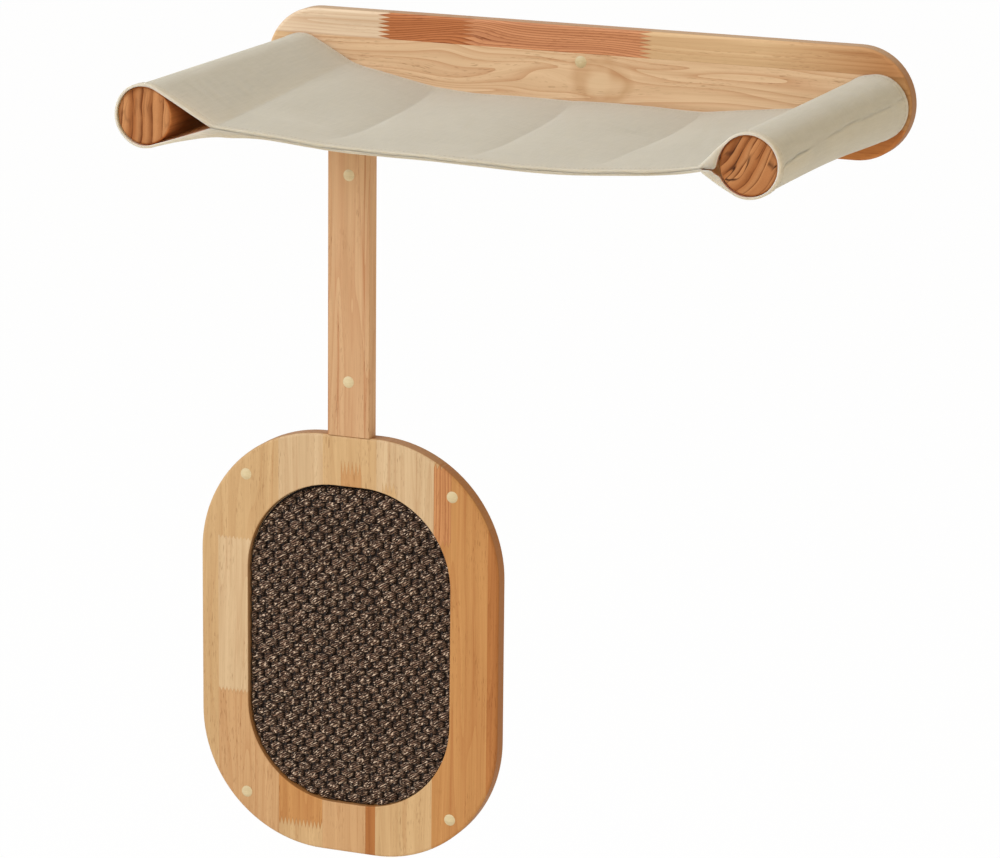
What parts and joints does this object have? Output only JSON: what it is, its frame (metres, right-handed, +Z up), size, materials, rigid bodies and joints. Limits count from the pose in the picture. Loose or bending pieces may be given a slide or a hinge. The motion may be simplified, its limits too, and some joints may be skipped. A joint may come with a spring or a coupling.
{
  "type": "wall mounted cat tree",
  "caption": "Wall mounted cat perch: a canvas sling hung between round arms on a back plate, with a framed woven scratch mat on a post below it.",
  "frame": {"origin": "middle of the back plate's back face, on the wall", "axes": "+Y into the wall, -Y out into the room, +Z up, +X to the right as seen from the front"},
  "size_m": [0.6815, 0.337, 0.8],
  "materials": {
    "board_wood": "clear oiled, finger-jointed staves",
    "arm_wood": "clear oiled, turned",
    "button_wood": "smooth, pale",
    "pin_wood": "raw beech",
    "plywood": "raw sanded plywood",
    "steel": "zinc plated",
    "insert_metal": "yellow zinc plated",
    "sisal": "coarse knobby weave of dark brown sisal",
    "canvas": "plain woven natural cotton canvas"
  },
  "bodies": {
    "tree": {"back_plate": "board_wood", "left_arm": "arm_wood", "right_arm": "arm_wood", "arm_bolts": "steel", "arm_washers": "steel", "arm_inserts": "insert_metal", "post": "board_wood", "plate_joint_pins": "pin_wood", "frame_joint_pins": "pin_wood", "scratch_frame": "board_wood", "backing_board": "plywood", "backing_screws": "steel", "scratch_mat": "sisal", "plate_screw_caps": "button_wood", "post_screw_caps": "button_wood", "frame_screw_caps": "button_wood"},
    "sling": {"canvas_sling": "canvas"}
  },
  "joints": [
    {"name": "sling_slide", "type": "slide", "parent": "tree", "child": "sling", "axis": [0, -1, 0], "range_m": [0, 0.325]}
  ]
}
